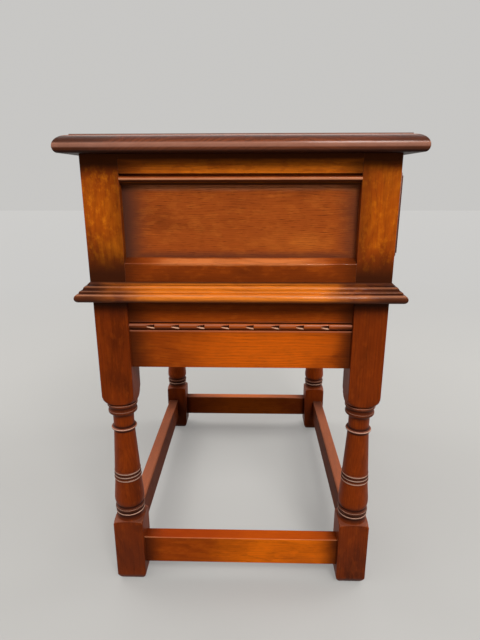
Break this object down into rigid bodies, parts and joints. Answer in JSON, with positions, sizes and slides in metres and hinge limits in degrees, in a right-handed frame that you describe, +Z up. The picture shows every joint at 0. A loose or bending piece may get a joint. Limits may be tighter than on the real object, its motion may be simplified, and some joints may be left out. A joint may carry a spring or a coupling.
{
  "type": "lamp table",
  "caption": "Oak lamp table: a panelled case with one drawer under a moulded top, on a stand of turned legs joined by carved aprons and a low box stretcher.",
  "frame": {"origin": "on the floor, under the middle of the table's box", "axes": "+Z up, the drawer's front faces -Y, the short panelled ends face -X and +X"},
  "size_m": [0.596, 0.4638, 0.6815],
  "materials": {
    "oak_stand": "stained and lacquered oak, satin gloss, orange-brown shaded to dark red-brown",
    "oak_case": "stained and lacquered oak, satin gloss, orange-brown shaded to dark red-brown",
    "oak_panel": "stained and lacquered oak with level grain, darker round its border",
    "oak_moulding": "stained and lacquered oak, glossier, darker at its corners",
    "oak_top": "stained and lacquered oak, dark red-brown at its edge, satin gloss",
    "oak_inside": "unstained oak inside the case and the drawer",
    "brass": "antique brass, darkened in its hollows",
    "steel": "plain zinc-plated steel"
  },
  "bodies": {
    "table": {"top_board": "oak_top", "left_end_front_stile": "oak_case", "left_end_back_stile": "oak_case", "left_end_top_rail": "oak_case", "left_end_bottom_rail": "oak_case", "left_end_panel": "oak_panel", "left_end_bead": "oak_case", "right_end_front_stile": "oak_case", "right_end_back_stile": "oak_case", "right_end_top_rail": "oak_case", "right_end_bottom_rail": "oak_case", "right_end_panel": "oak_panel", "right_end_bead": "oak_case", "back_left_stile": "oak_case", "back_right_stile": "oak_case", "back_top_rail": "oak_case", "back_bottom_rail": "oak_case", "back_panel": "oak_panel", "front_left_stile": "oak_case", "front_right_stile": "oak_case", "front_top_rail": "oak_case", "front_bottom_rail": "oak_case", "case_floor": "oak_inside", "drawer_runner_left": "oak_inside", "drawer_runner_right": "oak_inside", "drawer_kickers": "oak_inside", "waist_front": "oak_moulding", "waist_right": "oak_moulding", "waist_back": "oak_moulding", "waist_left": "oak_moulding", "leg_front_left": "oak_stand", "leg_front_right": "oak_stand", "leg_back_left": "oak_stand", "leg_back_right": "oak_stand", "apron_front": "oak_stand", "apron_right": "oak_stand", "apron_back": "oak_stand", "apron_left": "oak_stand", "stretcher_front": "oak_stand", "stretcher_right": "oak_stand", "stretcher_back": "oak_stand", "stretcher_left": "oak_stand", "stand_cleats": "oak_inside", "top_screws": "steel", "case_screws": "steel", "stand_screws": "steel"},
    "drawer": {"drawer_front": "oak_case", "drawer_side_left": "oak_inside", "drawer_side_right": "oak_inside", "drawer_back": "oak_inside", "drawer_bottom": "oak_inside", "handle_plates": "brass", "handle_posts": "brass", "handle_pins": "brass", "handle_nuts": "steel"},
    "left_drop": {"handle_drop_left": "brass"},
    "right_drop": {"handle_drop_right": "brass"}
  },
  "joints": [
    {"name": "drawer_slide", "type": "slide", "parent": "table", "child": "drawer", "axis": [0, -1, 0], "range_m": [0, 0.26]},
    {"name": "left_drop_swing", "type": "hinge", "parent": "drawer", "child": "left_drop", "pos_m": [-0.115, -0.22445, 0.58025], "axis": [-1, 0, 0], "range_deg": [-4, 85]},
    {"name": "right_drop_swing", "type": "hinge", "parent": "drawer", "child": "right_drop", "pos_m": [0.115, -0.22445, 0.58025], "axis": [-1, 0, 0], "range_deg": [-4, 85]}
  ]
}
